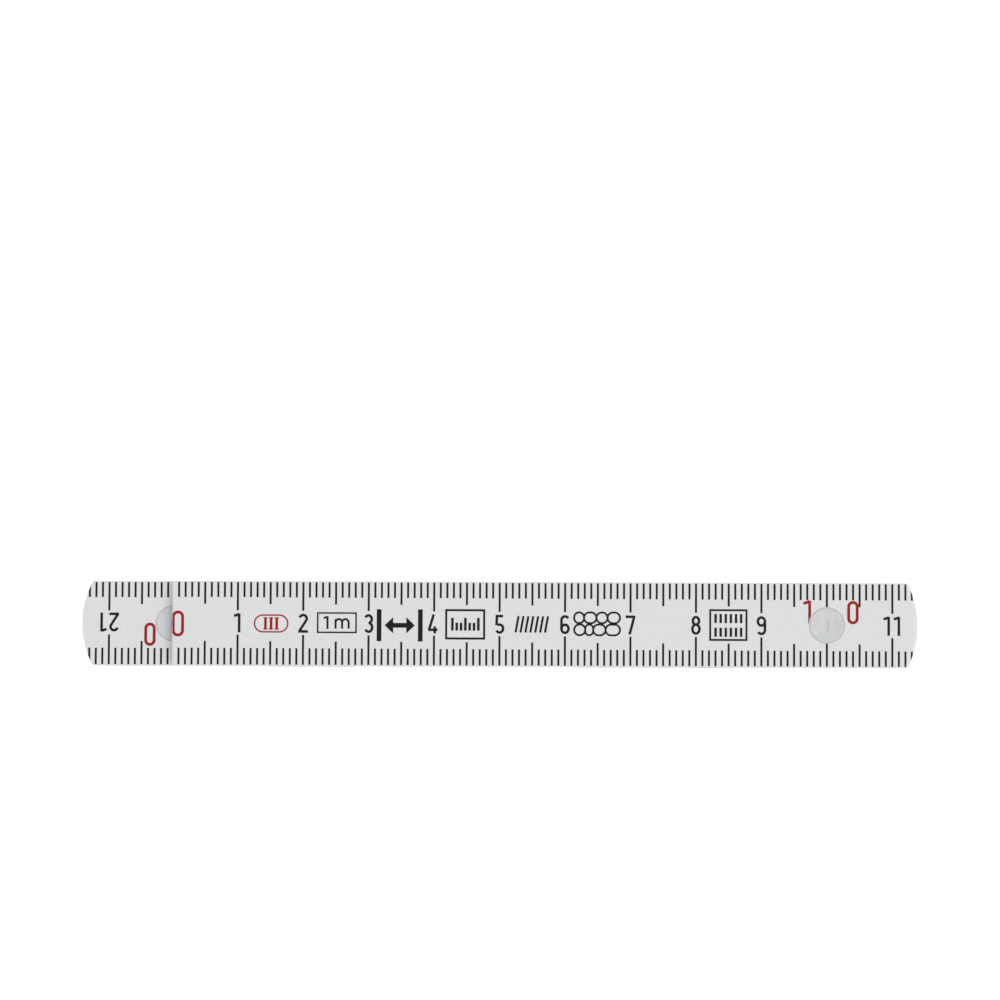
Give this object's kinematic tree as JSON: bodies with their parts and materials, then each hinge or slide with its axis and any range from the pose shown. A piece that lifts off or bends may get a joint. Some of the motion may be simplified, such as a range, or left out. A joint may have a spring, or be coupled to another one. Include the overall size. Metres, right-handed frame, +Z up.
{
  "type": "folding rule",
  "caption": "Folding measuring rule of flat moulded plastic sections that turn on flush riveted pivots at their ends, folded into a slim stack.",
  "frame": {"origin": "middle of the folded stack's underside, which is the back of the last section", "axes": "+X along the rule, from the end that holds the first section's zero mark towards the first pivot; +Y across the rule; +Z up through the stack, from the last section to the first. The hinge axes are parallel to +Z, at X = +50 mm and X = -50 mm in turn."},
  "size_m": [0.128, 0.013, 0.0213],
  "materials": {
    "section": "white glass-filled polyamide, fine moulded texture, black and red printed scale",
    "rivet": "off-white moulded acetal, satin",
    "washer": "bare spring steel"
  },
  "bodies": {
    "link_01": {"section_01": "section", "spring_washer_01": "washer"},
    "link_02": {"section_02": "section", "hinge_rivet_01": "rivet", "spring_washer_02": "washer"},
    "link_03": {"section_03": "section", "hinge_rivet_02": "rivet", "spring_washer_03": "washer"},
    "link_04": {"section_04": "section", "hinge_rivet_03": "rivet", "spring_washer_04": "washer"},
    "link_05": {"section_05": "section", "hinge_rivet_04": "rivet", "spring_washer_05": "washer"},
    "link_06": {"section_06": "section", "hinge_rivet_05": "rivet", "spring_washer_06": "washer"},
    "link_07": {"section_07": "section", "hinge_rivet_06": "rivet", "spring_washer_07": "washer"},
    "link_08": {"section_08": "section", "hinge_rivet_07": "rivet", "spring_washer_08": "washer"},
    "link_09": {"section_09": "section", "hinge_rivet_08": "rivet", "spring_washer_09": "washer"},
    "link_10": {"section_10": "section", "hinge_rivet_09": "rivet"}
  },
  "joints": [
    {"name": "fold_01", "type": "hinge", "parent": "link_01", "child": "link_02", "pos_m": [0.05, 0, 0.01921], "axis": [0, 0, 1], "range_deg": [-180, 180]},
    {"name": "fold_02", "type": "hinge", "parent": "link_02", "child": "link_03", "pos_m": [-0.05, 0, 0.01707], "axis": [0, 0, 1], "range_deg": [-180, 180]},
    {"name": "fold_03", "type": "hinge", "parent": "link_03", "child": "link_04", "pos_m": [0.05, 0, 0.01493], "axis": [0, 0, 1], "range_deg": [-180, 180]},
    {"name": "fold_04", "type": "hinge", "parent": "link_04", "child": "link_05", "pos_m": [-0.05, 0, 0.01279], "axis": [0, 0, 1], "range_deg": [-180, 180]},
    {"name": "fold_05", "type": "hinge", "parent": "link_05", "child": "link_06", "pos_m": [0.05, 0, 0.01065], "axis": [0, 0, 1], "range_deg": [-180, 180]},
    {"name": "fold_06", "type": "hinge", "parent": "link_06", "child": "link_07", "pos_m": [-0.05, 0, 0.00851], "axis": [0, 0, 1], "range_deg": [-180, 180]},
    {"name": "fold_07", "type": "hinge", "parent": "link_07", "child": "link_08", "pos_m": [0.05, 0, 0.00637], "axis": [0, 0, 1], "range_deg": [-180, 180]},
    {"name": "fold_08", "type": "hinge", "parent": "link_08", "child": "link_09", "pos_m": [-0.05, 0, 0.00423], "axis": [0, 0, 1], "range_deg": [-180, 180]},
    {"name": "fold_09", "type": "hinge", "parent": "link_09", "child": "link_10", "pos_m": [0.05, 0, 0.00209], "axis": [0, 0, 1], "range_deg": [-180, 180]}
  ]
}
